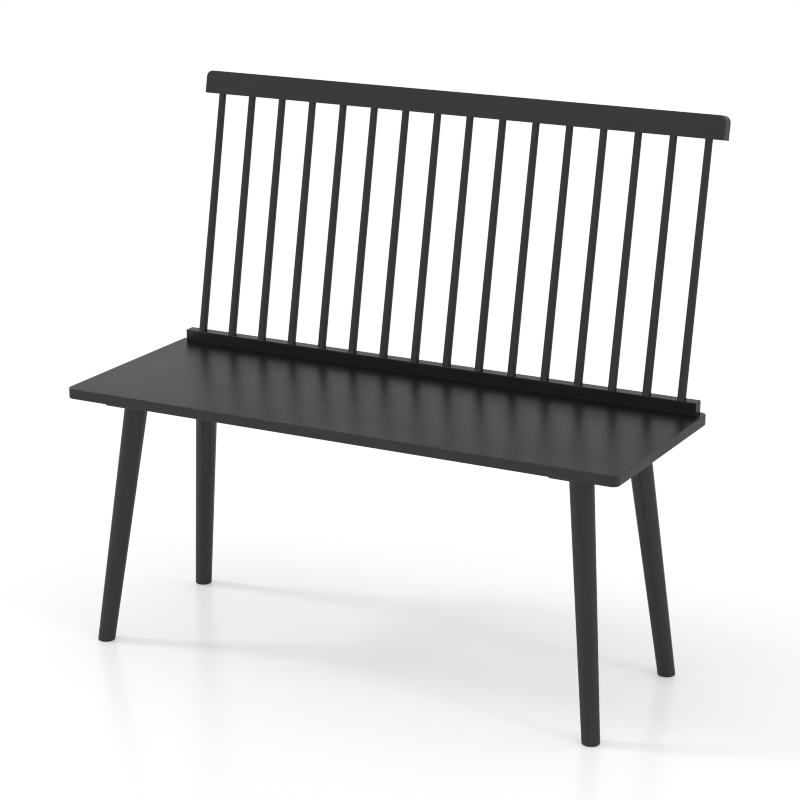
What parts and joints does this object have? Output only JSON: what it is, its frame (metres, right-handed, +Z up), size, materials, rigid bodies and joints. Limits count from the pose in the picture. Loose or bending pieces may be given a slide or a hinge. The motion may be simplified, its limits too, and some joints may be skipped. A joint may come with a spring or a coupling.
{
  "type": "spindle bench",
  "caption": "Wooden bench with a thin flat seat, splayed round tapered legs and a leaning back of slim turned spindles between two rails.",
  "frame": {"origin": "on the floor, in the middle of the bench's length and of its overall depth, which runs from the seat's front edge to the back of the top rail", "axes": "+X along the bench, to the right as seen from the front; -Y is the front, where people sit down; +Z is up"},
  "size_m": [1, 0.4606, 0.9262],
  "materials": {
    "black_painted_wood": "satin black paint on solid rubberwood",
    "zinc_plated_steel": "bright zinc plating",
    "zinc_alloy_insert": "dull cast zinc alloy"
  },
  "bodies": {
    "root": {"seat_panel": "black_painted_wood", "back_lower_rail": "black_painted_wood", "back_top_rail": "black_painted_wood", "back_spindle_01": "black_painted_wood", "back_spindle_02": "black_painted_wood", "back_spindle_03": "black_painted_wood", "back_spindle_04": "black_painted_wood", "back_spindle_05": "black_painted_wood", "back_spindle_06": "black_painted_wood", "back_spindle_07": "black_painted_wood", "back_spindle_08": "black_painted_wood", "back_spindle_09": "black_painted_wood", "back_spindle_10": "black_painted_wood", "back_spindle_11": "black_painted_wood", "back_spindle_12": "black_painted_wood", "back_spindle_13": "black_painted_wood", "back_spindle_14": "black_painted_wood", "back_spindle_15": "black_painted_wood", "back_spindle_16": "black_painted_wood", "leg_front_left": "black_painted_wood", "leg_front_right": "black_painted_wood", "leg_rear_left": "black_painted_wood", "leg_rear_right": "black_painted_wood", "leg_block_front_left": "black_painted_wood", "leg_block_front_right": "black_painted_wood", "leg_block_rear_left": "black_painted_wood", "leg_block_rear_right": "black_painted_wood", "leg_hanger_bolts": "zinc_plated_steel", "block_screws": "zinc_plated_steel", "rail_bolts": "zinc_plated_steel", "rail_bolt_washers": "zinc_plated_steel", "leg_threaded_inserts": "zinc_alloy_insert", "rail_threaded_inserts": "zinc_alloy_insert"}
  },
  "joints": []
}
